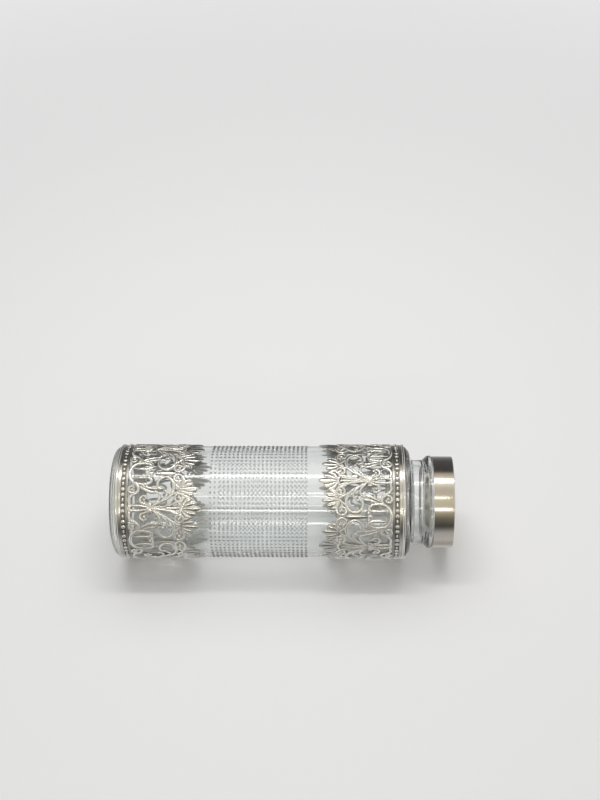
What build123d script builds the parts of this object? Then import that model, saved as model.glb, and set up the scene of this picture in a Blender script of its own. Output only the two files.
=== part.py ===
from build123d import *
from math import cos, degrees, pi, radians, sin
import os

# Rosewater sprinkler bottle, upright, in millimetres. The origin is the centre of the foot's rest plane
# and +Z runs up the axis to the cap. Everything turned is drawn as (radius, height) and revolved.

# Glass body
glass_radius = 41.0
glass_wall = 3.0
floor_height = 7.0
foot_radius = 35.5
foot_width = 4.0
heel_height = 5.5
punt_depth = 2.5
shoulder_start = 213.6
shoulder_ease = 1.6
shoulder_radius = 37.2
shoulder_height = 217.6
neck_radius = 31.0
neck_start = 219.4
neck_top = 227.6

# Glass ring below the cap, and the finish that the cap screws onto
ring_radius = 34.25
ring_low = 231.0
ring_top = 234.3
finish_radius = 29.5
mouth_radius = 26.5
land_height = 245.5

# Silver mounts: h is measured from a mount's outer rim towards the middle of the bottle
mount_radius = 42.6
strip_radius = 42.2
base_rim_height = 5.0
shoulder_rim_height = 213.6
rim_width = 4.3
bead_band_width = 5.0
bead_band_thickness = 0.7
strip_height = 64.0
repeats = 5
base_phase = -39.9
shoulder_phase = -68.0
wire = 1.8
scroll_step = 52
strip_flats = 20
rim_flats = 40

# Sprinkler insert
flange_radius = 29.2
flange_thickness = 1.0
skirt_radius = 26.2
skirt_wall = 1.4
skirt_depth = 8.8
rose_thickness = 0.8
hole_radius = 1.1
hole_sides = 6
hole_circles = ((6, 6.5), (12, 13.0))

# Cap: steel shell over a plastic threaded core, lined with a backing disc and a seal disc
cap_radius = 33.7
cap_top = 249.5
cap_gap = 0.3
shell_thickness = 0.5
core_wall = 2.0
core_top_thickness = 1.0
backing_thickness = 0.7
seal_thickness = 0.8
lining_radius = 30.9
cap_edge = 0.6


def turned(*outline):
    """Solid of revolution about the axis from a closed (radius, height) outline."""
    return revolve(Plane.XZ * make_face(Polyline(*outline, close=True)), Axis.Z)


def glass_bottle():
    """Cylinder with an eased heel and shoulder, a waisted neck, a ring and a straight finish."""
    wall_radius = glass_radius - glass_wall
    return turned(
        (0, punt_depth),
        (foot_radius - foot_width, punt_depth),
        (foot_radius - foot_width, 0),
        (foot_radius, 0),
        (foot_radius + heel_height * 0.7, heel_height * 0.3),
        (glass_radius, heel_height),
        (glass_radius, shoulder_start),
        (glass_radius - shoulder_ease / 2, shoulder_start + shoulder_ease),
        (shoulder_radius, shoulder_height),
        (neck_radius, neck_start),
        (neck_radius, neck_top),
        (ring_radius, ring_low),
        (ring_radius, ring_top),
        (finish_radius, ring_top),
        (finish_radius, land_height),
        (mouth_radius, land_height),
        (mouth_radius, shoulder_height),
        (wall_radius, shoulder_start - shoulder_ease),
        (wall_radius, floor_height),
        (0, floor_height),
    )


def flat_ring(inner, outer, low, high, flats):
    """Ring bent in flats: it rests on the glass at the middle of each, and its corners reach the outer radius."""
    inside = inner / cos(pi / flats)
    turn = 180 / flats
    section = RegularPolygon(outer, flats, rotation=turn) - RegularPolygon(inside, flats, rotation=turn)
    return Pos(0, 0, low) * extrude(section, high - low)


def rim_band():
    """Smooth collar round the glass."""
    return flat_ring(glass_radius, mount_radius, 0, rim_width, rim_flats)


def arc_points(centre, radius, start, end):
    """Points on an arc in even steps, which keep a much repeated scroll light."""
    steps = max(2, round(abs(end - start) / scroll_step))
    turn = radians(end - start) / steps
    angles = [radians(start) + turn * i for i in range(steps + 1)]
    return [(centre[0] + radius * cos(a), centre[1] + radius * sin(a)) for a in angles]


def stroke(points, width=wire):
    """A flat wire of even width along the points."""
    return trace(Polyline(*points), width)


def leaf(*half, lean=0, foot=(0, 0)):
    """A leaf from the outline of its right half, mirrored, leant by some degrees and set on its foot."""
    other = [(-x, y) for x, y in reversed(half) if x != 0]
    return Pos(*foot) * Rot(0, 0, lean) * make_face(Polyline(*half, *other, close=True))


def palmette(lean=0, foot=(0, 0), size=1.0):
    """Palmette with its lobes' tips cut apart, pointing away from the rim."""
    outline = ((1.4, -0.6), (8.2, 0), (7.4, 7.4), (5.6, 6.8), (4.6, 10.6), (2.6, 10.2), (0, 14.2))
    return leaf(*[(x * size, y * size) for x, y in outline], lean=lean, foot=foot)


def middle_motif():
    """On one mirror axis: drop loop, knot, bell-shaped petal and palmette in line."""
    loop = leaf((1.2, 9), (2.7, 11.6), (2.7, 19), (0.9, 25)) - Pos(0, 15.2) * Rectangle(1.7, 6.5)
    knot = Pos(0, 25.4) * Rectangle(8.8, 2)
    bell = leaf((0.9, 25), (1.8, 37), (4.9, 44.8), (1.6, 49))
    return [loop, knot, bell, palmette(foot=(0, 48.4))]


def side_motif():
    """Right of that axis: stem from the knot into a round scroll, and a side palmette on its stalk."""
    return [
        stroke([(1.2, 26), (5.2, 34.4), (9.4, 40)] + arc_points((17.2, 36.6), 6, 110, -150)),
        stroke([(9.6, 40.2), (13.4, 47.2)], wire * 0.8),
        palmette(lean=-5, foot=(13.5, 46.8), size=0.92),
    ]


def end_motif():
    """On the other mirror axis: bud and large open scroll, drawn about its own middle."""
    folded = [(3.7, 14), (3.7, 23.4)]
    parts = [
        stroke(folded + arc_points((0, 18.2), 8.3, 40, -220) + [(-x, y) for x, y in reversed(folded)]),
        leaf((1, 24), (2.3, 39.5), (1, 43.6)),
        Pos(0, 25.2) * Rectangle(8.4, 1.8),
    ]
    for side in (-1, 1):
        volute = [(11.1, 48), (4.6, 49.2), (1.5, 46.4), (1.3, 43.2), (4.4, 42.8)]
        stem = [(8, 15), (12.2, 17), (15.6, 15), (17.6, 11.2), (21.4, 10.2), (26, 9.8)]
        for line in (volute, stem):
            parts.append(stroke([(side * x, y) for x, y in line]))
        parts.append(make_face(Polyline(
            *[(side * x, y) for x, y in ((9.4, 17.4), (12.4, 16.8), (17.6, 29), (13.2, 30.4))], close=True)))
    return parts


def pressed(parts, arc_offset):
    """Flat parts pressed onto the strip round their own middle, which lies arc_offset along it."""
    flat = Sketch() + parts
    turn = degrees(arc_offset / strip_radius)
    block = extrude(Plane.YZ * (Pos(-arc_offset, 0) * flat), mount_radius + 1)
    return Rot(0, 0, turn) * block


def gallery():
    """Openwork strip with the plain band that its beads stand on, rim downwards, as one pierced piece."""
    side = pressed(side_motif(), 15)
    unit = [
        pressed(middle_motif(), 0),
        side,
        mirror(side, Plane.XZ),
        Rot(0, 0, 180 / repeats) * pressed(end_motif(), 0),
    ]
    blocks = [Rot(0, 0, 360 / repeats * i) * part for i in range(repeats) for part in unit]
    blank = flat_ring(glass_radius, mount_radius, 0, strip_height, strip_flats)
    band_top = rim_width + bead_band_width
    band = flat_ring(glass_radius, glass_radius + bead_band_thickness, rim_width, band_top, strip_flats)
    return band + [block & blank for block in blocks]


def on_base(piece):
    """Place a mount piece at the foot, its rim towards the floor."""
    return Pos(0, 0, base_rim_height) * Rot(0, 0, base_phase) * piece


def on_shoulder(piece):
    """Place a mount piece at the shoulder, its rim towards the cap."""
    return Pos(0, 0, shoulder_rim_height) * Rot(0, 0, shoulder_phase) * Rot(180, 0, 0) * piece


def sprinkler_plug():
    """Push-in plug: flange on the glass land, thin skirt in the mouth."""
    flange_top = land_height + flange_thickness
    bore = skirt_radius - skirt_wall
    return turned(
        (bore, flange_top),
        (flange_radius, flange_top),
        (flange_radius, land_height),
        (skirt_radius, land_height),
        (skirt_radius, land_height - skirt_depth),
        (bore, land_height - skirt_depth),
    )


def sprinkler_rose():
    """Perforated disc pressed into the lower end of the plug."""
    hole = RegularPolygon(hole_radius, hole_sides)
    face = Circle(skirt_radius - skirt_wall) - hole
    for count, radius in hole_circles:
        face -= PolarLocations(radius, count) * hole
    return Pos(0, 0, land_height - skirt_depth) * extrude(face, rose_thickness)


def cap_shell():
    """Thin drawn shell with an eased top edge, open below."""
    inner = cap_radius - shell_thickness
    low = ring_top + cap_gap
    under = cap_top - shell_thickness
    return turned(
        (0, cap_top),
        (cap_radius - cap_edge, cap_top),
        (cap_radius, cap_top - cap_edge),
        (cap_radius, low),
        (inner, low),
        (inner, under),
        (0, under),
    )


def cap_threaded_core():
    """Plastic cup pressed into the shell; its thread runs on the glass finish."""
    outer = cap_radius - shell_thickness
    low = ring_top + cap_gap + 0.3
    top = cap_top - shell_thickness
    return turned(
        (0, top),
        (outer, top),
        (outer, low),
        (outer - core_wall, low),
        (outer - core_wall, top - core_top_thickness),
        (0, top - core_top_thickness),
    )


def cap_backing_disc():
    """Springy disc under the core's top."""
    top = cap_top - shell_thickness - core_top_thickness
    return Pos(0, 0, top - backing_thickness) * extrude(Circle(lining_radius), backing_thickness)


def cap_seal_disc():
    """Soft facing disc squeezed between the backing and the plug's flange."""
    low = land_height + flange_thickness
    return Pos(0, 0, low) * extrude(Circle(lining_radius), seal_thickness)


strip = gallery()
nodes = {
    "glass_bottle": glass_bottle(),
    "base_rim_band": on_base(rim_band()),
    "base_gallery": on_base(strip),
    "shoulder_rim_band": on_shoulder(rim_band()),
    "shoulder_gallery": on_shoulder(strip),
    "sprinkler_plug": sprinkler_plug(),
    "sprinkler_rose": sprinkler_rose(),
    "cap_seal_disc": cap_seal_disc(),
    "cap_backing_disc": cap_backing_disc(),
    "cap_threaded_core": cap_threaded_core(),
    "cap_shell": cap_shell(),
}

os.makedirs("parts", exist_ok=True)
for name, piece in nodes.items():
    print(name, len(piece.solids()), round(piece.volume))
    export_step(piece, f"parts/{name}.step")
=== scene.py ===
import math
import bmesh
import bpy
from mathutils import Matrix, Vector


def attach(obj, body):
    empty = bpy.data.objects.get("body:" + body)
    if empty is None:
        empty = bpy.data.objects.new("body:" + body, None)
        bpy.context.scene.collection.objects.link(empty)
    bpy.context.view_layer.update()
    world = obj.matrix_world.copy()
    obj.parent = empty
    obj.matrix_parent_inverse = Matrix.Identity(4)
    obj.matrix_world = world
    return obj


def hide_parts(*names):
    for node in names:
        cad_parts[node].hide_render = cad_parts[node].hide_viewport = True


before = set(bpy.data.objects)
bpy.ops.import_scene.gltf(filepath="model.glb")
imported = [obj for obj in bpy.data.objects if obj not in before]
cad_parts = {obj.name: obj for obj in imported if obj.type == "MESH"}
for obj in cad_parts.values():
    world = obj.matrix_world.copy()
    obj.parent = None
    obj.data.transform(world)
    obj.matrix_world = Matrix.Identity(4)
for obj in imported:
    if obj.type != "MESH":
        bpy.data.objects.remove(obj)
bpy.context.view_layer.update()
bpy.ops.object.select_all(action="DESELECT")

mm = 0.001  # sizes below are in millimetres and become metres here
upright = (0, 0, 1)  # the bottle's axis
centre = (0, 0, 0)
onEdge = (math.pi / 2, 0, 0)  # turns a flat primitive to face along Y


def pickOnly(piece):
    bpy.ops.object.select_all(action="DESELECT")
    piece.select_set(True)
    bpy.context.view_layer.objects.active = piece


def editMode(piece):
    pickOnly(piece)
    bpy.ops.object.mode_set(mode="EDIT")


def objectMode():
    bpy.ops.object.mode_set(mode="OBJECT")


def selectVertices(piece, test):
    mesh = bmesh.from_edit_mesh(piece.data)
    mesh.select_mode = {"VERT"}
    for vertex in mesh.verts:
        vertex.select = test(vertex.co)
    mesh.select_flush_mode()
    bmesh.update_edit_mesh(piece.data)


def selectFaces(piece, test):
    mesh = bmesh.from_edit_mesh(piece.data)
    mesh.select_mode = {"FACE"}
    for face in mesh.faces:
        face.select_set(False)
    for face in mesh.faces:
        if test(face.calc_center_median()):
            face.select_set(True)
    mesh.select_flush_mode()
    bmesh.update_edit_mesh(piece.data)


def applyModifiers(piece):
    pickOnly(piece)
    for modifier in list(piece.modifiers):
        bpy.ops.object.modifier_apply(modifier=modifier.name)


def joinPieces(pieces, name):
    pickOnly(pieces[0])
    for piece in pieces:
        piece.select_set(True)
    if len(pieces) > 1:
        bpy.ops.object.join()
    pieces[0].name = name
    pieces[0].data.name = name
    return pieces[0]


def copyOf(piece, name):
    pickOnly(piece)
    bpy.ops.object.duplicate()
    copy = bpy.context.object
    copy.name = name
    copy.data.name = name
    return copy


def placeInMesh(piece):
    pickOnly(piece)
    bpy.ops.object.transform_apply(location=True, rotation=True, scale=True)


def turnPiece(piece, degreesRound, axis="Z"):
    # turns the mesh about the bottle's axis, or about a cross axis through the origin
    turn = Matrix.Rotation(math.radians(degreesRound), 4, axis)
    pickOnly(piece)
    piece.matrix_world = turn @ piece.matrix_world
    placeInMesh(piece)


def smoothPiece(piece, angle):
    pickOnly(piece)
    bpy.ops.object.shade_smooth_by_angle(angle=math.radians(angle))


def roundedOutline(corners, arcStep):
    # each corner is (radius, height) or (radius, height, rounding)
    points = []
    for index, corner in enumerate(corners):
        here = Vector(corner[:2])
        rounding = corner[2] if len(corner) > 2 else 0
        if not rounding:
            points.append(here)
            continue
        back = (Vector(corners[index - 1][:2]) - here).normalized()
        onward = (Vector(corners[(index + 1) % len(corners)][:2]) - here).normalized()
        half = back.angle(onward) / 2
        middle = here + (back + onward).normalized() * (rounding / math.sin(half))
        start = here + back * (rounding / math.tan(half)) - middle
        sweep = math.pi - 2 * half
        side = 1 if back.cross(onward) < 0 else -1
        steps = max(2, round(math.degrees(sweep) / arcStep))
        for step in range(steps + 1):
            turn = Matrix.Rotation(side * sweep * step / steps, 2)
            points.append(middle + turn @ start)
    return points


def turnedPiece(name, corners, steps=96, arcStep=15, smoothAngle=40):
    # a point is extruded along the half section, which is then spun about the bottle's axis
    points = roundedOutline(corners, arcStep)
    bpy.ops.mesh.primitive_plane_add(size=mm)
    piece = bpy.context.object
    piece.name = name
    piece.data.name = name
    bpy.ops.object.mode_set(mode="EDIT")
    bpy.ops.mesh.merge(type="CENTER")
    place = Vector((points[0].x, 0, points[0].y)) * mm
    bpy.ops.transform.translate(value=place)
    startsOnAxis = points[0].x < 1e-6 and points[-1].x < 1e-6
    for point in points[1:] + ([] if startsOnAxis else points[:1]):
        target = Vector((point.x, 0, point.y)) * mm
        bpy.ops.mesh.extrude_region_move(TRANSFORM_OT_translate={"value": target - place})
        place = target
    bpy.ops.mesh.select_all(action="SELECT")
    bpy.ops.mesh.remove_doubles(threshold=1e-6)
    bpy.ops.mesh.spin(steps=steps, angle=math.tau, center=centre, axis=upright)
    bpy.ops.mesh.select_all(action="SELECT")
    bpy.ops.mesh.remove_doubles(threshold=2e-6)
    bpy.ops.mesh.normals_make_consistent(inside=False)
    objectMode()
    smoothPiece(piece, smoothAngle)
    return piece


def helixRidge(name, ridge):
    # a round section swept along a screw line, with its two ends closed
    start = (ridge["radius"] * mm, 0, ridge["start"] * mm)
    bpy.ops.mesh.primitive_circle_add(
        vertices=10, radius=ridge["width"] / 2 * mm, location=start, rotation=onEdge)
    piece = bpy.context.object
    piece.name = name
    placeInMesh(piece)
    screw = piece.modifiers.new("screw", "SCREW")
    screw.angle = math.tau * ridge["turns"]
    screw.screw_offset = ridge["pitch"] * ridge["turns"] * mm
    screw.steps = screw.render_steps = round(ridge["steps"] * ridge["turns"])
    screw.use_merge_vertices = False
    applyModifiers(piece)
    editMode(piece)
    bpy.ops.mesh.select_all(action="SELECT")
    bpy.ops.mesh.fill_holes(sides=0)
    bpy.ops.mesh.select_all(action="SELECT")
    bpy.ops.mesh.normals_make_consistent(inside=False)
    objectMode()
    return piece


def finishPiece(piece, body, slotName, material, *nodes):
    piece.data.materials.clear()
    piece.data.materials.append(material)
    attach(piece, body)
    if nodes:
        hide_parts(*nodes)


def makeNodes(tree):
    tree.nodes.clear()

    def add(kind, **values):
        node = tree.nodes.new(kind)
        for name, value in values.items():
            setattr(node, name, value)
        return node

    return add, tree.links.new


def worked(add, link, operation, first, second=None):
    # a Math node on outputs or plain numbers
    node = add("ShaderNodeMath", operation=operation)
    for socket, value in zip(node.inputs, (first, second)):
        if isinstance(value, (int, float)):
            socket.default_value = value
        elif value is not None:
            link(value, socket)
    return node.outputs[0]


def ranged(add, link, source, low, high, fromLow=0.3, fromHigh=0.7, interpolation="LINEAR"):
    node = add("ShaderNodeMapRange", interpolation_type=interpolation)
    node.inputs["From Min"].default_value = fromLow
    node.inputs["From Max"].default_value = fromHigh
    node.inputs["To Min"].default_value = low
    node.inputs["To Max"].default_value = high
    link(source, node.inputs["Value"])
    return node.outputs["Result"]


print("helpers ready")

# The bottle lies along the picture, so the camera is turned to put its axis level, cap to the right.
view = {
    "elevation": 47.0,  # above the surface that the bottle lies on
    "distance": 990.0,
    "foot": 164.0,  # height on the axis that the camera faces squarely
    "focal": 1325.0,  # in pixels
    "footAcross": 36.3,  # where that point lies from the picture's middle, in pixels
    "footDown": 101.5,
    "longSide": 800.0,
    "sensor": 36.0,
}


def makeCamera():
    tilt = math.radians(view["elevation"])
    towards = Vector((math.cos(tilt), -math.sin(tilt), 0))
    along = Vector(upright)
    seenFoot = Vector((view["footAcross"], -view["footDown"], -view["focal"])).normalized()
    seenAlong = Vector((view["focal"], 0, view["footAcross"])).normalized()
    seen = Matrix((seenFoot, seenAlong, seenFoot.cross(seenAlong))).transposed()
    real = Matrix((-towards, along, (-towards).cross(along))).transposed()
    bpy.ops.object.camera_add(location=towards * view["distance"] * mm + along * view["foot"] * mm)
    camera = bpy.context.object
    camera.rotation_euler = (real @ seen.transposed()).to_euler()
    camera.data.sensor_width = view["sensor"]
    camera.data.lens = view["focal"] / view["longSide"] * view["sensor"]
    camera.data.clip_start = 0.01
    camera.data.clip_end = 20
    bpy.context.scene.camera = camera


makeCamera()
print("camera ready")

# A pale surface that the bottle lies on. It is seen from its front only and fades out far from the bottle.
floor = {
    "gap": 42.75,  # from the axis
    "size": 3200,
    "middle": (0, 125),
    "colour": (0.94, 0.94, 0.94),
    "solid": 0.45,  # metres from the bottle
    "gone": 1.45,
}
room = {
    "paper": (0.93, 0.93, 0.93),
    "ambient": 0.42,
    "haze": 0.45,  # how much paper the glass shows in place of the walls
    "wallColour": 0.3,  # how much of the walls' colour the glass keeps
    "ends": (0.86, 0.84, 0.79),  # beyond the bottle's two ends, to light the flanks of the relief
    "endsFrom": 0.2,  # how far a direction leans along the bottle where they start, and where they are full
    "endsFull": 0.65,
    "endsShare": 0.85,
    # (degrees, colour) round the axis: 0 is along the floor on the camera's side, 90 is straight up from it
    # and 180 is the far side. Those below 0 are under the floor, which metal doesn't mirror.
    "walls": (
        (-180, (0.13, 0.13, 0.14)),
        (-168, (0.20, 0.20, 0.20)),
        (-148, (0.52, 0.51, 0.50)),
        (-135, (0.60, 0.59, 0.57)),
        (-108, (0.56, 0.55, 0.54)),
        (-84, (0.36, 0.36, 0.36)),
        (-62, (0.52, 0.52, 0.52)),
        (-42, (0.46, 0.46, 0.47)),
        (-17, (0.06, 0.06, 0.06)),
        (3, (0.15, 0.14, 0.11)),
        (12, (0.28, 0.26, 0.20)),
        (24, (0.44, 0.40, 0.30)),
        (46, (0.63, 0.60, 0.48)),
        (75, (0.58, 0.54, 0.47)),
        (96, (0.80, 0.77, 0.72)),
        (120, (0.52, 0.47, 0.40)),
        (129, (0.05, 0.05, 0.055)),
        (168, (0.08, 0.08, 0.09)),
        (180, (0.13, 0.13, 0.14)),
    ),
}


def makeFloor():
    across, along = floor["middle"]
    middle = (across * mm, floor["gap"] * mm, along * mm)
    bpy.ops.mesh.primitive_plane_add(size=floor["size"] * mm, location=middle, rotation=onEdge)
    piece = bpy.context.object
    piece.name = "paleFloor"
    placeInMesh(piece)
    editMode(piece)
    bpy.ops.mesh.subdivide(number_cuts=6)
    objectMode()
    material = bpy.data.materials.new("paleFloor")
    material.use_nodes = True
    add, link = makeNodes(material.node_tree)
    reach = add("ShaderNodeVectorMath", operation="DISTANCE")
    reach.inputs[1].default_value = middle
    link(add("ShaderNodeTexCoord").outputs["Object"], reach.inputs[0])
    fade = ranged(add, link, reach.outputs["Value"], 0, 1, floor["solid"], floor["gone"], "SMOOTHSTEP")
    behind = add("ShaderNodeNewGeometry").outputs["Backfacing"]
    paper = add("ShaderNodeBsdfDiffuse")
    paper.inputs["Color"].default_value = (*floor["colour"], 1)
    clear = add("ShaderNodeBsdfTransparent")
    mix = add("ShaderNodeMixShader")
    link(worked(add, link, "MAXIMUM", fade, behind), mix.inputs[0])
    link(paper.outputs[0], mix.inputs[1])
    link(clear.outputs[0], mix.inputs[2])
    out = add("ShaderNodeOutputMaterial")
    link(mix.outputs[0], out.inputs["Surface"])
    piece.data.materials.append(material)
    piece.visible_glossy = False  # metal mirrors the room below it instead


def makeWalls(add, link, parts):
    # colour by the bearing round the bottle's axis
    upwards = worked(add, link, "MULTIPLY", parts.outputs["Y"], -1)
    bearing = worked(add, link, "ARCTAN2", upwards, parts.outputs["X"])
    walls = add("ShaderNodeValToRGB")
    walls.color_ramp.interpolation = "EASE"
    ramp = walls.color_ramp.elements
    while len(ramp) < len(room["walls"]):
        ramp.new(0.5)
    for element, (degreesUp, colour) in zip(ramp, room["walls"]):
        element.position = (degreesUp + 180) / 360
        element.color = (*colour, 1)
    link(ranged(add, link, bearing, 0, 1, -math.pi, math.pi), walls.inputs["Fac"])
    return walls.outputs["Color"]


def backdropOf(add, link, colour, strength=1):
    node = add("ShaderNodeBackground")
    node.inputs["Strength"].default_value = strength
    if isinstance(colour, tuple):
        node.inputs["Color"].default_value = (*colour, 1)
    else:
        link(colour, node.inputs["Color"])
    return node.outputs[0]


def makeRoom():
    # the camera sees pale paper, metal a studio with a dark far side, and glass a paler and plainer one
    world = bpy.data.worlds.new("studio")
    bpy.context.scene.world = world
    world.use_nodes = True
    add, link = makeNodes(world.node_tree)
    rays = add("ShaderNodeLightPath")
    parts = add("ShaderNodeSeparateXYZ")
    link(add("ShaderNodeTexCoord").outputs["Generated"], parts.inputs[0])
    walls = makeWalls(add, link, parts)
    along = worked(add, link, "ABSOLUTE", parts.outputs["Z"])
    paler = add("ShaderNodeMixRGB")
    paler.inputs["Color2"].default_value = (*room["ends"], 1)
    beyond = ranged(add, link, along, 0, room["endsShare"], room["endsFrom"], room["endsFull"])
    link(beyond, paler.inputs["Fac"])
    link(walls, paler.inputs["Color1"])
    plain = add("ShaderNodeHueSaturation")
    plain.inputs["Saturation"].default_value = room["wallColour"]
    link(walls, plain.inputs["Color"])
    paper = backdropOf(add, link, room["paper"])
    pale = add("ShaderNodeMixShader")
    pale.inputs[0].default_value = room["haze"]
    link(backdropOf(add, link, plain.outputs["Color"]), pale.inputs[1])
    link(paper, pale.inputs[2])
    mirrored = backdropOf(add, link, paler.outputs["Color"])
    shown = backdropOf(add, link, room["paper"], room["ambient"])
    lights = {"Is Glossy Ray": mirrored, "Is Transmission Ray": pale.outputs[0], "Is Camera Ray": paper}
    for kind, light in lights.items():
        mix = add("ShaderNodeMixShader")
        link(rays.outputs[kind], mix.inputs[0])
        link(shown, mix.inputs[1])
        link(light, mix.inputs[2])
        shown = mix.outputs[0]
    link(shown, add("ShaderNodeOutputWorld").inputs["Surface"])


lamps = {
    "overheadLamp": {
        "elevation": 100, "distance": 900, "size": (620, 70), "power": 1.6, "colour": (1, 0.99, 0.97)},
    "cameraLamp": {
        "elevation": 57, "distance": 1150, "size": (560, 22), "power": 0.32, "colour": (1, 0.98, 0.95)},
    "frontLamp": {
        "elevation": 28, "distance": 900, "size": (560, 36), "power": 0.55, "colour": (1, 0.97, 0.92)},
    "softLamp": {
        "elevation": 110, "distance": 1300, "size": (1400, 1200), "power": 6.2, "colour": (1, 1, 1)},
}


def makeLamps():
    aim = Vector((0, 0, floor["middle"][1] * mm))
    for name, lamp in lamps.items():
        angle = math.radians(lamp["elevation"])
        away = Vector((math.cos(angle), -math.sin(angle), 0))
        bpy.ops.object.light_add(type="AREA", location=aim + away * lamp["distance"] * mm)
        light = bpy.context.object
        light.name = name
        light.data.shape = "RECTANGLE"
        light.data.size = lamp["size"][0] * mm
        light.data.size_y = lamp["size"][1] * mm
        light.data.energy = lamp["power"]
        light.data.color = lamp["colour"]
        facing = Matrix((Vector(upright), away.cross(Vector(upright)), away)).transposed()
        light.rotation_euler = facing.to_euler()
        light.visible_glossy = name != "softLamp"  # it is too large to be mirrored


makeFloor()
makeRoom()
makeLamps()
bpy.context.scene.view_settings.view_transform = "Standard"
print("stage ready")


def distanceOut(add, link, place):
    # the distance from the bottle's axis, and the way out to it
    parts = add("ShaderNodeSeparateXYZ")
    link(place, parts.inputs[0])
    flat = add("ShaderNodeCombineXYZ")
    link(parts.outputs["X"], flat.inputs["X"])
    link(parts.outputs["Y"], flat.inputs["Y"])
    out = add("ShaderNodeVectorMath", operation="LENGTH")
    link(flat.outputs[0], out.inputs[0])
    return out.outputs["Value"], flat.outputs[0]


def effectGroup(name, inputs, outputs):
    group = bpy.data.node_groups.new(name, "ShaderNodeTree")
    for socket, value in inputs.items():
        kind = "NodeSocketVector" if value is None else "NodeSocketFloat"
        made = group.interface.new_socket(socket, in_out="INPUT", socket_type=kind)
        if value is not None:
            made.default_value = value
    for socket in outputs:
        group.interface.new_socket(socket, in_out="OUTPUT", socket_type="NodeSocketFloat")
    add, link = makeNodes(group)
    return group, add, link, add("NodeGroupInput"), add("NodeGroupOutput")


def makeTurnedGrain():
    # fine rings round the axis, as a lathe or a brush leaves them, drifting a little on the way round
    group, add, link, given, made = effectGroup(
        "turnedGrain", {"Vector": None, "Fineness": 1400.0, "Drift": 0.7}, ("Grain", "Streak"))
    place = given.outputs["Vector"]
    out, outwards = distanceOut(add, link, place)
    parts = add("ShaderNodeSeparateXYZ")
    link(place, parts.inputs[0])
    both = worked(add, link, "ADD", out, parts.outputs["Z"])
    around = add("ShaderNodeVectorMath", operation="NORMALIZE")
    link(outwards, around.inputs[0])
    drift = add("ShaderNodeSeparateXYZ")
    link(around.outputs[0], drift.inputs[0])
    where = add("ShaderNodeCombineXYZ")
    link(worked(add, link, "MULTIPLY", both, given.outputs["Fineness"]), where.inputs["X"])
    link(worked(add, link, "MULTIPLY", drift.outputs["X"], given.outputs["Drift"]), where.inputs["Y"])
    link(worked(add, link, "MULTIPLY", drift.outputs["Y"], given.outputs["Drift"]), where.inputs["Z"])
    for socket, scale in (("Grain", 1.0), ("Streak", 0.23)):
        noise = add("ShaderNodeTexNoise")
        noise.inputs["Scale"].default_value = scale
        noise.inputs["Detail"].default_value = 3
        link(where.outputs[0], noise.inputs["Vector"])
        link(noise.outputs["Fac"], made.inputs[socket])
    return group


def makeHandling():
    # soft uneven patches from handling, and a fine speckle
    group, add, link, given, made = effectGroup(
        "handling", {"Vector": None, "Patch": 60.0, "Speckle": 900.0}, ("Patches", "Speckles"))
    for socket, size, detail in (("Patches", "Patch", 4), ("Speckles", "Speckle", 2)):
        noise = add("ShaderNodeTexNoise")
        noise.inputs["Detail"].default_value = detail
        link(given.outputs["Vector"], noise.inputs["Vector"])
        link(given.outputs[size], noise.inputs["Scale"])
        link(noise.outputs["Fac"], made.inputs[socket])
    return group


turnedGrain = makeTurnedGrain()
handling = makeHandling()


def blended(add, link, share, low, high):
    node = add("ShaderNodeMix", data_type="RGBA")
    link(share, node.inputs["Factor"])
    for socket, colour in (("A", low), ("B", high)):
        target = [s for s in node.inputs if s.name == socket and s.type == "RGBA"][0]
        if isinstance(colour, tuple):
            target.default_value = (*colour, 1)
        else:
            link(colour, target)
    return [s for s in node.outputs if s.type == "RGBA"][0]


def bumped(add, link, height, distance, strength, normal=None):
    node = add("ShaderNodeBump")
    node.inputs["Strength"].default_value = strength
    node.inputs["Distance"].default_value = distance
    link(height, node.inputs["Height"])
    if normal:
        link(normal, node.inputs["Normal"])
    return node.outputs["Normal"]


def newMaterial(name, **sockets):
    material = bpy.data.materials.new(name)
    material.use_nodes = True
    add, link = makeNodes(material.node_tree)
    shader = add("ShaderNodeBsdfPrincipled")
    for socket, value in sockets.items():
        shader.inputs[socket.replace("_", " ")].default_value = value
    out = add("ShaderNodeOutputMaterial")
    link(shader.outputs["BSDF"], out.inputs["Surface"])
    place = add("ShaderNodeTexCoord").outputs["Object"]
    return material, add, link, shader, place


def useEffect(add, link, group, place, **values):
    node = add("ShaderNodeGroup", node_tree=group)
    link(place, node.inputs["Vector"])
    for socket, value in values.items():
        node.inputs[socket].default_value = value
    return node.outputs


glassLook = {
    "body": ((0.955, 0.975, 0.968), (0.985, 0.99, 0.988)),
    # painted shade: grey laid on the dots for the darker tones that their refraction gives
    "paintedDotShade": (0.50, 0.54, 0.56),
    "dotsFrom": 41.03,  # out from the axis
    "dotsFull": 41.14,
    "dullest": 0.02,
    "shadow": (0.7, 0.7, 0.7),
}


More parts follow.
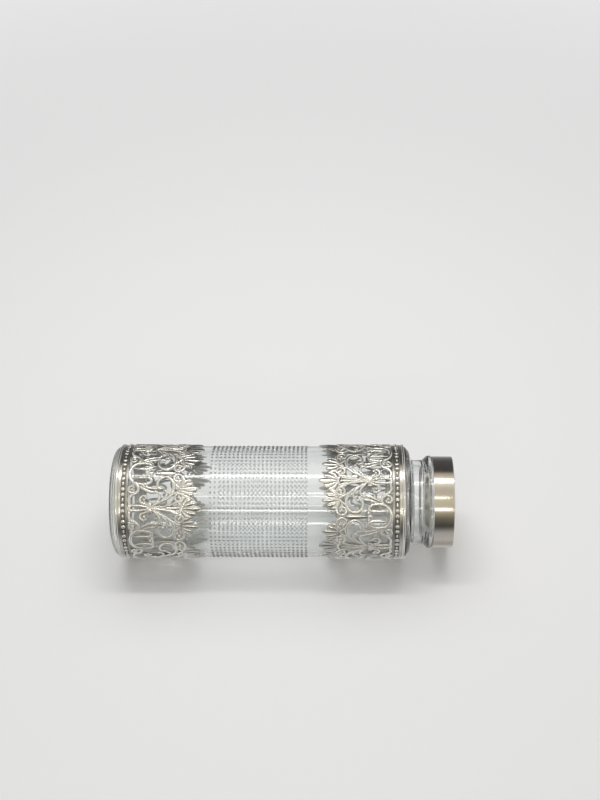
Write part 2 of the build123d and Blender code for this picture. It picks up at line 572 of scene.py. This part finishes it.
def makeClearGlass():
    # fire-polished and faintly uneven; the dots, which alone stand so far out, are painted a little greyer,
    # a painted shade in place of the darker tones their refraction gives
    material, add, link, shader, place = newMaterial("clearGlass", Transmission_Weight=1.0, IOR=1.5)
    patches = useEffect(add, link, handling, place, Patch=45.0, Speckle=500.0)["Patches"]
    out = distanceOut(add, link, place)[0]
    # where the painted shade of the dots goes
    paintedDotShade = ranged(add, link, out, 0.0, 1.0, glassLook["dotsFrom"] * mm, glassLook["dotsFull"] * mm)
    body = blended(add, link, patches, *glassLook["body"])
    link(blended(add, link, paintedDotShade, body, glassLook["paintedDotShade"]), shader.inputs["Base Color"])
    link(ranged(add, link, patches, 0.0, glassLook["dullest"]), shader.inputs["Roughness"])
    link(bumped(add, link, patches, 0.0003, 0.2), shader.inputs["Normal"])
    # light passes on through the glass, so its shadow is a pale one
    passing = add("ShaderNodeBsdfTransparent")
    passing.inputs["Color"].default_value = (*glassLook["shadow"], 1)
    mix = add("ShaderNodeMixShader")
    surface = shader.outputs["BSDF"].links[0].to_socket
    link(add("ShaderNodeLightPath").outputs["Is Shadow Ray"], mix.inputs[0])
    link(shader.outputs["BSDF"], mix.inputs[1])
    link(passing.outputs["BSDF"], mix.inputs[2])
    link(mix.outputs["Shader"], surface)
    return material


silverLook = {
    "low": (0.08, 0.074, 0.056),
    "high": ((0.76, 0.745, 0.70), (0.89, 0.885, 0.86)),
    "lowTo": 41.48,  # out from the axis
    "highFrom": 42.14,
    "back": (-0.02, 0.0),  # below 0 the surface faces the axis
    "backPolish": 0.8,
    "backRoughness": 0.5,
    "wear": (0.55, 0.85),
    "roughness": (0.42, 0.17),  # where it is low and where it is high
}


def makeAntiqueSilver():
    # polished where the ornament stands high and, more dully, on its back; darkened where it is low
    material, add, link, shader, place = newMaterial("antiqueSilver", Metallic=1.0)
    out, outwards = distanceOut(add, link, place)
    facing = add("ShaderNodeVectorMath", operation="DOT_PRODUCT")
    link(outwards, facing.inputs[0])
    link(add("ShaderNodeTexCoord").outputs["Normal"], facing.inputs[1])
    back = ranged(add, link, facing.outputs["Value"], silverLook["backPolish"], 0.0, *silverLook["back"])
    front = ranged(add, link, out, 0.0, 1.0, silverLook["lowTo"] * mm, silverLook["highFrom"] * mm)
    high = worked(add, link, "MAXIMUM", front, back)
    marks = useEffect(add, link, handling, place, Patch=160.0, Speckle=1800.0)
    polished = blended(add, link, marks["Patches"], *silverLook["high"])
    link(blended(add, link, high, silverLook["low"], polished), shader.inputs["Base Color"])
    worn = worked(add, link, "MULTIPLY", high, ranged(add, link, marks["Patches"], *silverLook["wear"]))
    smooth = ranged(add, link, worn, *silverLook["roughness"], 0.0, 0.8)
    dull = ranged(add, link, back, 0.0, silverLook["backRoughness"], 0.0, silverLook["backPolish"])
    link(worked(add, link, "MAXIMUM", smooth, dull), shader.inputs["Roughness"])
    link(bumped(add, link, marks["Speckles"], 0.00006, 0.5), shader.inputs["Normal"])
    return material


steelLook = {
    # the steel's own champagne tone, which is partly also a painted reflection of warm surroundings
    "toneAndWarmReflection": ((0.70, 0.65, 0.57), (0.76, 0.71, 0.63)),
    "streak": (0.80, 0.76, 0.68),
    "roughness": (0.13, 0.20),
}


def makeBrushedSteel():
    material, add, link, shader, place = newMaterial("brushedSteel", Metallic=1.0)
    grain = useEffect(add, link, turnedGrain, place, Fineness=3200.0, Drift=0.5)
    marks = useEffect(add, link, handling, place, Patch=70.0, Speckle=1500.0)
    # champagne tone: partly the steel's own colour, partly a painted reflection of warm surroundings
    toneAndWarmReflection = blended(add, link, marks["Patches"], *steelLook["toneAndWarmReflection"])
    streaks = ranged(add, link, grain["Streak"], 0.0, 0.5)
    link(blended(add, link, streaks, toneAndWarmReflection, steelLook["streak"]), shader.inputs["Base Color"])
    link(ranged(add, link, grain["Grain"], *steelLook["roughness"]), shader.inputs["Roughness"])
    link(bumped(add, link, grain["Grain"], 0.000012, 0.4), shader.inputs["Normal"])
    return material


def makePlastic(name, low, high, roughness, **sockets):
    material, add, link, shader, place = newMaterial(name, **sockets)
    marks = useEffect(add, link, handling, place, Patch=90.0, Speckle=2500.0)
    grain = useEffect(add, link, turnedGrain, place, Fineness=1100.0, Drift=0.5)
    link(blended(add, link, marks["Patches"], low, high), shader.inputs["Base Color"])
    link(ranged(add, link, marks["Patches"], roughness, roughness + 0.12), shader.inputs["Roughness"])
    fine = bumped(add, link, marks["Speckles"], 0.00002, 0.4)
    link(bumped(add, link, grain["Grain"], 0.00001, 0.3, fine), shader.inputs["Normal"])
    return material


clearGlass = makeClearGlass()
antiqueSilver = makeAntiqueSilver()
brushedSteel = makeBrushedSteel()
corePlastic = makePlastic("corePlastic", (0.80, 0.80, 0.77), (0.86, 0.86, 0.84), 0.34)
plugPlastic = makePlastic(
    "plugPlastic", (0.83, 0.85, 0.84), (0.90, 0.91, 0.90), 0.26, Subsurface_Weight=0.15)
softLiner = makePlastic("softLiner", (0.80, 0.80, 0.76), (0.86, 0.86, 0.83), 0.58)
springLiner = makePlastic("springLiner", (0.62, 0.62, 0.60), (0.70, 0.70, 0.68), 0.50)
print("materials ready")

bottle = {
    "radius": 41.0,
    "inner": 38.0,
    "floor": 7.0,
    "hollow": (28.0, 2.5),  # under the foot: its radius and height
    "foot": 31.8,
    "heel": 5.4,  # rounding
    "shoulder": ((214.6, 2.6), (217.6, 3.4)),  # height and rounding of its two corners
    "shoulderEdge": 37.2,
    "neck": 31.0,
    "neckLow": 219.4,
    "neckTop": 227.6,
    "ring": 34.25,
    "ringLow": 231.0,
    "ringTop": 234.3,
    "finish": 29.5,
    "mouth": 26.5,
    "land": 245.5,
    "throat": 217.0,  # height where the mouth's bore begins to widen, and where the even wall begins
    "wallTop": 212.4,
    "columns": 136,  # a dot on every second one
    "turn": 1.23,  # brings a line of dots onto the ornament's mirror line
    "dotRows": 23,
    "dotLow": 73.5,
    "dotHigh": 141.9,
    "dotSize": 1.7,
    "dotGap": 0.05,
    "dotCorner": 0.52,  # cut off each corner of a dot's foot
    "dotSteps": ((0.11, 0.17), (0.19, 0.14), (0.20, 0.06)),  # inset and rise of each step of a dot
    "dotPeak": 0.02,
    "sharpest": 75,  # degrees between faces that are still shaded as one
    "thread": {"radius": 29.55, "start": 237.1, "pitch": 4.0, "turns": 1.4, "width": 2.3, "steps": 72},
}


def dotHeights():
    pitch = (bottle["dotHigh"] - bottle["dotLow"]) / (bottle["dotRows"] - 1)
    return [bottle["dotLow"] + pitch * row for row in range(bottle["dotRows"])]


def bottleOutline():
    radius, inner, neck, ring, finish, mouth, land = (
        bottle[key] for key in ("radius", "inner", "neck", "ring", "finish", "mouth", "land"))
    half = bottle["dotSize"] / 2
    hollow, ceiling = bottle["hollow"]
    low, high = bottle["shoulder"]
    return [
        (0, ceiling + 0.4), (hollow, ceiling, 3.0), (bottle["foot"], 0.0, 1.2),
        (radius, 0.0, bottle["heel"]),
        *[(radius, height + side) for height in dotHeights() for side in (-half, half)],
        (radius, *low), (bottle["shoulderEdge"], *high),
        (neck, bottle["neckLow"], 1.6), (neck, bottle["neckTop"], 2.6),
        (ring, bottle["ringLow"], 1.6), (ring, bottle["ringTop"], 1.3), (finish, bottle["ringTop"], 0.7),
        (finish, land, 0.9), (mouth, land, 0.7), (mouth, bottle["throat"], 4.0), (33.0, 214.6, 3.4),
        (inner, bottle["wallTop"], 2.6), (inner, bottle["floor"], 3.6), (0, bottle["floor"]),
    ]


def raiseDots(piece):
    pitch = 2 * math.tau / bottle["columns"]
    heights = dotHeights()

    def onDot(place):
        # on the outer wall, in every second column and in a row of dots
        offWall = abs(place.xy.length - (bottle["radius"] + 0.2) * mm)
        turns = math.atan2(place.y, place.x) / pitch - 0.25
        offRow = min(abs(place.z - height * mm) for height in heights)
        return offWall <= 0.4 * mm and abs(turns - round(turns)) < 0.1 and offRow < 0.2 * mm

    # eight-sided feet, kept sharp so that the plain glass round the dots stays even
    selectFaces(piece, onDot)
    bpy.ops.mesh.inset(thickness=bottle["dotGap"] * mm, use_individual=True)
    bpy.ops.mesh.bevel(offset=bottle["dotCorner"] * mm, segments=1, affect="VERTICES")
    selectFaces(piece, onDot)
    bpy.ops.mesh.region_to_loop()
    bpy.ops.mesh.mark_sharp()
    selectFaces(piece, onDot)
    for inset, rise in bottle["dotSteps"]:
        bpy.ops.mesh.inset(thickness=inset * mm, use_individual=True)
        swell = 1 + rise / bottle["radius"]
        bpy.ops.transform.resize(value=(swell, swell, 1), center_override=centre)
    bpy.ops.mesh.poke(offset=bottle["dotPeak"] * mm)


def makeBottle():
    piece = turnedPiece(
        "glassBottle", bottleOutline(), steps=bottle["columns"], arcStep=11, smoothAngle=bottle["sharpest"])
    ridge = helixRidge("glassThread", bottle["thread"])
    union = piece.modifiers.new("thread", "BOOLEAN")
    union.operation = "UNION"
    union.solver = "EXACT"
    union.object = ridge
    applyModifiers(piece)
    bpy.data.objects.remove(ridge)
    editMode(piece)
    raiseDots(piece)
    objectMode()
    turnPiece(piece, bottle["turn"])
    smoothPiece(piece, bottle["sharpest"])
    return piece


finishPiece(makeBottle(), "bottle", "clear_glass", clearGlass, "glass_bottle")

rim = {
    "inner": 41.03,
    "edge": 42.55,
    "face": 42.05,
    "roll": 1.7,  # width of the outer part, which stands a little higher
    "width": 4.3,
    "steps": 144,
    "base": 5.0,
    "shoulder": 213.6,
}


def makeRims():
    inner, edge, face, roll, width = (rim[key] for key in ("inner", "edge", "face", "roll", "width"))
    corners = [
        (inner, 0.05), (edge, 0.05, 0.7), (edge, roll, 0.7), (face - 0.12, roll + 0.15, 0.1),
        (face + 0.05, width * 0.7), (face - 0.1, width, 0.25), (inner, width),
    ]
    upwards = [(corner[0], rim["base"] + corner[1], *corner[2:]) for corner in corners]
    downwards = [(corner[0], rim["shoulder"] - corner[1], *corner[2:]) for corner in reversed(corners)]
    return [
        turnedPiece(name, outline, steps=rim["steps"], arcStep=22, smoothAngle=50)
        for name, outline in (("baseRimBand", upwards), ("shoulderRimBand", downwards))]


baseRim, shoulderRim = makeRims()
finishPiece(baseRim, "bottle", "antique_silver", antiqueSilver, "base_rim_band")
finishPiece(shoulderRim, "bottle", "antique_silver", antiqueSilver, "shoulder_rim_band")
print("rim bands ready")

# The openwork is drawn flat: X runs round the bottle, Z away from the rim, and -Y stands out from the
# glass. Each repeat is then bent onto the strip's radius.
openwork = {
    "radius": 42.2,
    "glass": 41.03,
    "repeats": 5,
    "wire": 1.02,  # half width of a scroll where its weight is 1
    "lift": 0.5,  # depth of a scroll's middle behind the strip's radius
    "rise": 0.92,  # how far a scroll or bead stands out from there, and how far a leaf does
    "leafRise": 0.6,
    "ringWire": 0.918,  # radius of the wire of a small ring
    "middlePalmette": (0, 48.4, 0, 1),  # along, up, degrees of lean, size
    "sidePalmette": (13.5, 46.8, 5, 0.95),
    "basePhase": -39.9,
    "shoulderPhase": -68.0,
}
# A scroll passes the points (along, up, weight), and a bead or a ring is (along, up, radius).
sideScrolls = {
    "hook": (
        (0.9, 26.4, 0.8), (2.8, 29.7, 0.95), (5.4, 34.6, 1.0), (7.6, 38.4, 1.05), (11.0, 41.4, 1.1),
        (15.8, 42.5, 1.15), (20.6, 41.1, 1.15), (23.4, 36.9, 1.1), (21.8, 32.5, 1.05), (18.2, 30.7, 1.0),
        (15.0, 31.4, 0.95), (14.0, 33.4, 0.9)),
    "branch": (
        (2.4, 28.4, 0.7), (4.9, 31.0, 0.9), (8.2, 32.5, 0.95), (11.0, 31.6, 0.9), (11.8, 29.6, 0.9)),
    "innerBranch": (
        (4.4, 32.6, 0.7), (6.6, 35.2, 0.85), (9.2, 37.2, 0.9), (11.8, 37.4, 0.9), (13.0, 36.2, 0.8)),
    "stalk": ((9.4, 40.6, 0.7), (10.9, 43.6, 0.9), (12.9, 47.0, 1.0)),
    "outerStalk": ((18.4, 42.4, 0.7), (16.6, 44.6, 0.85), (14.2, 47.2, 0.9)),
    "volute": (
        (15.4, 48.4, 0.8), (18.8, 49.4, 0.95), (22.2, 49.2, 1.0), (24.8, 47.4, 1.05), (25.2, 44.4, 1.0),
        (22.8, 42.6, 0.95), (20.2, 43.5, 0.9), (19.9, 45.6, 0.85)),
    "stem": (
        (0.6, 10.0, 0.8), (3.4, 10.6, 0.95), (6.4, 10.2, 1.0), (9.1, 11.9, 1.05), (10.9, 15.1, 1.05),
        (13.2, 16.9, 1.05), (16.0, 16.7, 1.0), (18.4, 14.6, 0.9)),
    "stemCurl": (
        (12.0, 15.8, 0.8), (11.2, 12.8, 0.9), (12.6, 10.2, 0.95), (15.2, 10.4, 0.95), (16.2, 12.8, 0.9),
        (14.6, 14.2, 0.85)),
    "horn": (
        (1.4, 24.8, 0.7), (3.0, 22.6, 0.85), (3.7, 20.0, 0.9), (5.8, 18.4, 0.95), (8.3, 19.5, 0.95),
        (8.7, 22.0, 0.9), (6.9, 23.3, 0.85)),
}
sideBeads = (
    (14.6, 34.3, 1.15), (12.0, 29.4, 1.05), (12.9, 35.8, 0.9), (13.6, 12.5, 1.2), (6.2, 21.2, 1.1),
    (21.9, 45.9, 1.25), (7.8, 46.5, 1.25))
sideRings = ((7.8, 46.5, 2.95),)


def flipped(line):
    return tuple((-along, up, weight) for along, up, weight in line)


loopSide = ((0.4, 25.0, 0.75), (1.0, 22.0, 0.85), (1.7, 18.6, 0.95), (1.8, 15.0, 1.0), (1.7, 12.0, 1.0))
bellSide = (
    (0.5, 26.6, 0.8), (0.8, 31.0, 0.8), (1.3, 36.2, 0.85), (2.6, 41.4, 0.95), (4.0, 44.6, 1.05),
    (3.4, 46.9, 0.95), (1.6, 48.0, 0.9), (0, 48.4, 0.9))
middleScrolls = {
    "loop": (*loopSide, (0, 10.1, 1.1), *reversed(flipped(loopSide))),
    "bellRight": bellSide,
    "bellLeft": flipped(bellSide),
}
openScroll = (
    (0, 9.9, 1.25), (4.6, 11.1, 1.25), (7.9, 14.2, 1.2), (8.9, 18.8, 1.15), (8.3, 23.4, 1.1),
    (6.3, 26.2, 1.0), (4.3, 25.2, 1.05), (3.7, 21.8, 1.2), (3.7, 17.0, 1.1), (4.1, 12.8, 0.6))
endScrolls = {
    "openRight": openScroll,
    "openLeft": flipped(openScroll),
}
# A leaf lobe is a ridge along (along, up, half width).
palmetteLobes = (
    ((0, 0.2, 1.0), (0, 5.0, 1.5), (0, 9.6, 2.0), (0, 12.2, 1.6), (0, 13.9, 0.6)),
    ((0.7, 0.4, 0.8), (2.6, 3.6, 1.3), (3.7, 6.8, 1.75), (4.1, 8.9, 1.5), (4.4, 10.5, 0.6)),
    ((1.0, 0.2, 0.8), (3.9, 1.8, 1.2), (5.9, 4.0, 1.6), (6.7, 5.9, 1.45), (7.1, 7.4, 0.6)),
    ((1.0, -0.2, 0.7), (3.8, -1.0, 1.0), (6.0, -0.6, 1.3), (7.2, 1.0, 1.25), (7.3, 2.4, 0.6)),
)
sideLobes = (
    ((15.8, 17.8, 0.7), (13.5, 21.8, 1.15), (11.9, 26.0, 1.25), (11.3, 29.0, 0.7)),
    ((17.0, 18.6, 0.7), (15.6, 22.4, 1.0), (14.6, 26.2, 1.05), (14.2, 30.4, 0.6)),
)
bellVein = ((0.4, 33.0, 0.4), (1.4, 38.6, 0.8), (2.3, 42.6, 1.0), (2.6, 46.2, 0.7))
middleLobes = (
    ((0, 27.4, 0.4), (0, 33.0, 0.7), (0, 39.0, 0.95), (0, 46.6, 0.8)), bellVein, flipped(bellVein))
endLobes = (((0, 26.8, 0.7), (0, 30.4, 1.4), (0, 35.4, 2.0), (0, 40.2, 2.3), (0, 43.4, 0.6)),)
endBeads = ((0, 25.4, 1.9), (2.7, 26.2, 1.2), (-2.7, 26.2, 1.2))


def raisedAlong(line, unit, rise):
    # a curve with a round section, its outer half kept low and its inner half taken down to the glass
    bpy.ops.curve.primitive_bezier_curve_add()
    piece = bpy.context.object
    spline = piece.data.splines[0]
    spline.bezier_points.add(len(line) - 2)
    for point, (along, up, weight) in zip(spline.bezier_points, line):
        point.co = (along * mm, openwork["lift"] * mm, up * mm)
        point.radius = weight
        point.handle_left_type = point.handle_right_type = "AUTO"
    piece.data.bevel_depth = unit * mm
    piece.data.bevel_resolution = 2
    piece.data.use_fill_caps = True
    piece.data.resolution_u = 4
    pickOnly(piece)
    bpy.ops.object.convert(target="MESH")
    placeInMesh(piece)
    heaviest = max(weight for along, up, weight in line) * unit
    lift, behind = openwork["lift"] * mm, (openwork["radius"] - openwork["glass"]) * mm
    editMode(piece)
    selectVertices(piece, lambda place: place.y < lift - 1e-6)
    bpy.ops.transform.resize(value=(1, rise / heaviest, 1), center_override=(0, lift, 0))
    selectVertices(piece, lambda place: place.y > lift + 1e-6)
    bpy.ops.transform.resize(value=(1, 0, 1), center_override=(0, behind, 0))
    objectMode()
    return piece


def scrollAlong(line):
    return raisedAlong(line, openwork["wire"], openwork["rise"])


def lobeAlong(line):
    return raisedAlong(line, 1.0, openwork["leafRise"])


def beadAt(along, up, radius, depth=None):
    depth = openwork["lift"] if depth is None else depth
    bpy.ops.mesh.primitive_uv_sphere_add(segments=12, ring_count=7, radius=radius * mm, rotation=onEdge)
    piece = bpy.context.object
    placeInMesh(piece)
    highest = openwork["rise"] + depth - openwork["lift"]
    piece.scale = (1, min(1, highest / radius), 1)
    piece.location = (along * mm, depth * mm, up * mm)
    placeInMesh(piece)
    return piece


def ringAt(along, up, radius):
    place = (along * mm, openwork["lift"] * mm, up * mm)
    bpy.ops.mesh.primitive_torus_add(
        major_segments=18, minor_segments=8, major_radius=radius * mm,
        minor_radius=openwork["ringWire"] * mm, rotation=onEdge, location=place)
    piece = bpy.context.object
    placeInMesh(piece)
    return piece


def palmetteAt(along, up, lean, size):
    # seven lobes: one in the middle and three to each side
    lobes = [lobeAlong(line) for line in palmetteLobes]
    lobes += [lobeAlong(flipped(line)) for line in palmetteLobes[1:]]
    piece = joinPieces(lobes, "palmette")
    piece.scale = (size, 1, size)
    piece.rotation_euler = (0, math.radians(lean), 0)
    piece.location = (along * mm, 0, up * mm)
    placeInMesh(piece)
    return piece


knot = {
    "up": 25.4,
    "length": 6.8,
    "width": 1.9,
    "splayFrom": 3.0,
    "splay": (1.28, 0.9, 1.7),
    "rounding": 0.3,
}


def makeKnot():
    # the bar that ties the stems, with splayed ends
    middle = (0, openwork["lift"] * mm, knot["up"] * mm)
    bpy.ops.mesh.primitive_cube_add(size=1, location=middle)
    piece = bpy.context.object
    piece.scale = (knot["length"] * mm, 2 * openwork["rise"] * mm, knot["width"] * mm)
    placeInMesh(piece)
    editMode(piece)
    bpy.ops.mesh.subdivide(number_cuts=2)
    selectVertices(piece, lambda place: abs(place.x) > knot["splayFrom"] * mm)
    bpy.ops.transform.resize(value=knot["splay"], center_override=middle)
    objectMode()
    soften = piece.modifiers.new("soften", "BEVEL")
    soften.width = knot["rounding"] * mm
    soften.segments = 2
    applyModifiers(piece)
    return piece


def bendOn(piece):
    # everything behind the glass surface is laid flat on it before the piece is bent
    behind = (openwork["radius"] - openwork["glass"]) * mm
    editMode(piece)
    selectVertices(piece, lambda place: place.y > behind)
    bpy.ops.transform.resize(value=(1, 0, 1), center_override=(0, behind, 0))
    objectMode()
    radius = openwork["radius"] * mm
    bend = piece.modifiers.new("bend", "SIMPLE_DEFORM")
    bend.deform_method = "BEND"
    bend.deform_axis = "Z"
    bend.angle = piece.dimensions.x / radius
    applyModifiers(piece)
    piece.location.y = -radius
    placeInMesh(piece)


def makeRepeat():
    side = [scrollAlong(line) for line in sideScrolls.values()]
    side += [beadAt(*bead) for bead in sideBeads]
    side += [ringAt(*ring) for ring in sideRings]
    side += [lobeAlong(line) for line in sideLobes]
    side.append(palmetteAt(*openwork["sidePalmette"]))
    side = joinPieces(side, "side")
    mirror = side.modifiers.new("mirror", "MIRROR")
    mirror.use_mirror_merge = False
    applyModifiers(side)
    middle = [scrollAlong(line) for line in middleScrolls.values()]
    middle += [lobeAlong(line) for line in middleLobes]
    middle += [makeKnot(), palmetteAt(*openwork["middlePalmette"])]
    end = [scrollAlong(line) for line in endScrolls.values()]
    end += [lobeAlong(line) for line in endLobes]
    end += [beadAt(*bead) for bead in endBeads]
    end = joinPieces(end, "end")
    end.location.x = math.pi * openwork["radius"] / openwork["repeats"] * mm
    placeInMesh(end)
    unit = joinPieces([side, *middle, end], "repeat")
    bendOn(unit)
    return unit


beadRow = {
    "pairs": 22,
    "apart": 5.5,  # degrees between the two beads of a pair
    "height": 5.9,
    "radius": 1.5,
    "sunk": 0.35,  # how far a bead's middle lies behind the face of the band
    "link": 0.8,  # radius of the flat link between two pairs, before it is drawn out
    "linkShape": (1.9, 0.8, 1),
    "linkLift": 0.2,
    "channelFace": 41.6,
    "channelTop": 7.6,
    "bandTop": 9.3,
    "bandFace": 41.85,
}


def makeBeadRow():
    # one pair with the flat link beside it, copied round the band
    depth = openwork["radius"] - beadRow["channelFace"] - beadRow["sunk"]
    apart = math.radians(beadRow["apart"]) * openwork["radius"] / 2
    pitch = math.tau * openwork["radius"] / beadRow["pairs"]
    parts = [beadAt(side * apart, beadRow["height"], beadRow["radius"], depth) for side in (-1, 1)]
    between = beadAt(0, beadRow["height"], beadRow["link"], depth)
    between.scale = beadRow["linkShape"]
    between.location = (-pitch / 2 * mm, depth * beadRow["linkLift"] * mm, 0)
    placeInMesh(between)
    pair = joinPieces(parts + [between], "beadPair")
    bendOn(pair)
    return pair


def ringOf(unit, count, name):
    copies = [unit]
    for index in range(1, count):
        copy = copyOf(unit, name)
        turnPiece(copy, 360 / count * index)
        copies.append(copy)
    return joinPieces(copies, name)


def makeGallery():
    band = turnedPiece("beadBand", [
        (openwork["glass"], rim["width"]), (beadRow["channelFace"], rim["width"]),
        (beadRow["channelFace"], beadRow["channelTop"]), (beadRow["bandFace"], beadRow["channelTop"], 0.2),
        (beadRow["bandFace"], beadRow["bandTop"], 0.25), (openwork["glass"], beadRow["bandTop"]),
    ], steps=rim["steps"], arcStep=30, smoothAngle=50)
    repeats = ringOf(makeRepeat(), openwork["repeats"], "repeats")
    beads = ringOf(makeBeadRow(), beadRow["pairs"], "beads")
    gallery = joinPieces([repeats, beads, band], "baseGallery")
    turnPiece(gallery, 90)  # the first mirror line now lies along +X
    smoothPiece(gallery, 50)
    return gallery


baseGallery = makeGallery()
shoulderGallery = copyOf(baseGallery, "shoulderGallery")
turnPiece(shoulderGallery, 180, "X")
for piece, height, phase in ((baseGallery, rim["base"], openwork["basePhase"]),
                             (shoulderGallery, rim["shoulder"], openwork["shoulderPhase"])):
    turnPiece(piece, phase)
    piece.location.z = height * mm
    placeInMesh(piece)
finishPiece(baseGallery, "bottle", "antique_silver", antiqueSilver, "base_gallery")
finishPiece(shoulderGallery, "bottle", "antique_silver", antiqueSilver, "shoulder_gallery")
print("galleries ready", len(baseGallery.data.loop_triangles))

cap = {
    "radius": 33.7,
    "wall": 0.5,
    "low": 234.6,
    "top": 249.5,
    "edge": 0.7,
    "rimWidth": 2.4,  # round the top, which is dished inside it
    "dish": 0.12,
    "coreInner": 31.2,
    "coreLow": 234.9,
    "coreUnder": 248.0,
    "thread": {"radius": 31.7, "start": 237.3, "pitch": 4.0, "turns": 1.4, "width": 1.5, "steps": 72},
}


def makeCap():
    radius, wall, low, top = cap["radius"], cap["wall"], cap["low"], cap["top"]
    dished = radius - cap["rimWidth"]
    shell = turnedPiece("capShell", [
        (0, top - cap["dish"] - 0.03), (dished - 0.8, top - cap["dish"]), (dished, top, 0.6),
        (radius, top, cap["edge"]), (radius, low, 0.22), (radius - wall, low, 0.2),
        (radius - wall, top - wall, 0.8), (0, top - wall),
    ], steps=144)
    inner, coreTop = cap["coreInner"], top - wall - 0.02
    outer = radius - wall - 0.03
    core = turnedPiece("capThreadedCore", [
        (0, coreTop), (outer, coreTop, 0.9), (outer, cap["coreLow"], 0.3), (inner, cap["coreLow"], 0.5),
        (inner, cap["coreUnder"], 0.6), (0, cap["coreUnder"]),
    ], arcStep=20)
    ridge = helixRidge("coreThread", cap["thread"])
    core = joinPieces([core, ridge], "capThreadedCore")
    smoothPiece(core, 45)
    return shell, core


capShell, capCore = makeCap()
finishPiece(capShell, "cap", "brushed_steel", brushedSteel, "cap_shell")
finishPiece(capCore, "cap", "white_plastic", corePlastic, "cap_threaded_core")

lining = {
    "radius": 30.9,
    "sealLow": 246.5,
    "sealTop": 247.3,
    "backingTop": 248.0,
    "pressed": (26.1, 29.2, 0.08),  # the ring that the plug has pressed into the seal: radii and depth
}


def makeLining():
    radius, low, top = lining["radius"], lining["sealLow"], lining["sealTop"]
    inside, outside, depth = lining["pressed"]
    seal = turnedPiece("capSealDisc", [
        (0, low), (inside - 0.3, low), (inside, low + depth), (outside, low + depth), (outside + 0.3, low),
        (radius, low, 0.2), (radius, top, 0.2), (0, top),
    ], arcStep=30)
    backing = turnedPiece("capBackingDisc", [
        (0, top), (radius, top, 0.15), (radius, lining["backingTop"], 0.15), (0, lining["backingTop"]),
    ], arcStep=30)
    return seal, backing


sealDisc, backingDisc = makeLining()
finishPiece(sealDisc, "seal", "soft_liner", softLiner, "cap_seal_disc")
finishPiece(backingDisc, "backing", "white_plastic", springLiner, "cap_backing_disc")

insert = {
    "flange": 29.2,
    "flangeLow": 245.5,
    "flangeTop": 246.5,
    "skirt": 26.2,
    "bore": 24.8,
    "skirtLow": 236.7,
    "roseTop": 237.5,
    "ribs": (242.8, 240.0),
    "ribRise": 0.22,
    "ribHalf": 0.5,
    "lead": (0.6, 0.8),  # the skirt's lower end is drawn in by so much, over such a height
    "hole": 1.1,
    "holeSides": 20,
    "circles": ((1, 0), (6, 6.5), (12, 13.0)),
}


def makePlug():
    skirt, bore, low = insert["skirt"], insert["bore"], insert["skirtLow"]
    flange, flangeLow, flangeTop = insert["flange"], insert["flangeLow"], insert["flangeTop"]
    half, (drawnIn, lead) = insert["ribHalf"], insert["lead"]
    ribs = []
    for height in insert["ribs"]:
        ribs += [(skirt - 0.15, height + half), (skirt + insert["ribRise"], height, 0.15),
                 (skirt - 0.15, height - half)]
    return turnedPiece("sprinklerPlug", [
        (bore, flangeTop, 0.5), (flange, flangeTop, 0.35), (flange, flangeLow, 0.25), (skirt, flangeLow),
        *ribs, (skirt - 0.2, low + lead), (skirt - drawnIn, low, 0.2), (bore, low),
    ], arcStep=30)


def makeRose():
    edge, low, top = insert["bore"] - 0.02, insert["skirtLow"], insert["roseTop"]
    outline = [(0, low), (edge, low, 0.15), (edge, top, 0.25), (0, top)]
    piece = turnedPiece("sprinklerRose", outline, arcStep=30)
    cutters = []
    for count, radius in insert["circles"]:
        for index in range(count):
            angle = math.tau * index / count
            place = (radius * mm * math.cos(angle), radius * mm * math.sin(angle), top * mm)
            bpy.ops.mesh.primitive_cylinder_add(
                vertices=insert["holeSides"], radius=insert["hole"] * mm, depth=4 * mm, location=place)
            cutters.append(bpy.context.object)
    cutter = joinPieces(cutters, "holes")
    cut = piece.modifiers.new("holes", "BOOLEAN")
    cut.operation = "DIFFERENCE"
    cut.solver = "EXACT"
    cut.object = cutter
    applyModifiers(piece)
    bpy.data.objects.remove(cutter)
    smoothPiece(piece, 40)
    return piece


finishPiece(makePlug(), "insert", "white_plastic", plugPlastic, "sprinkler_plug")
finishPiece(makeRose(), "insert", "brushed_steel", brushedSteel, "sprinkler_rose")
print("cap and insert ready")

bpy.context.view_layer.update()
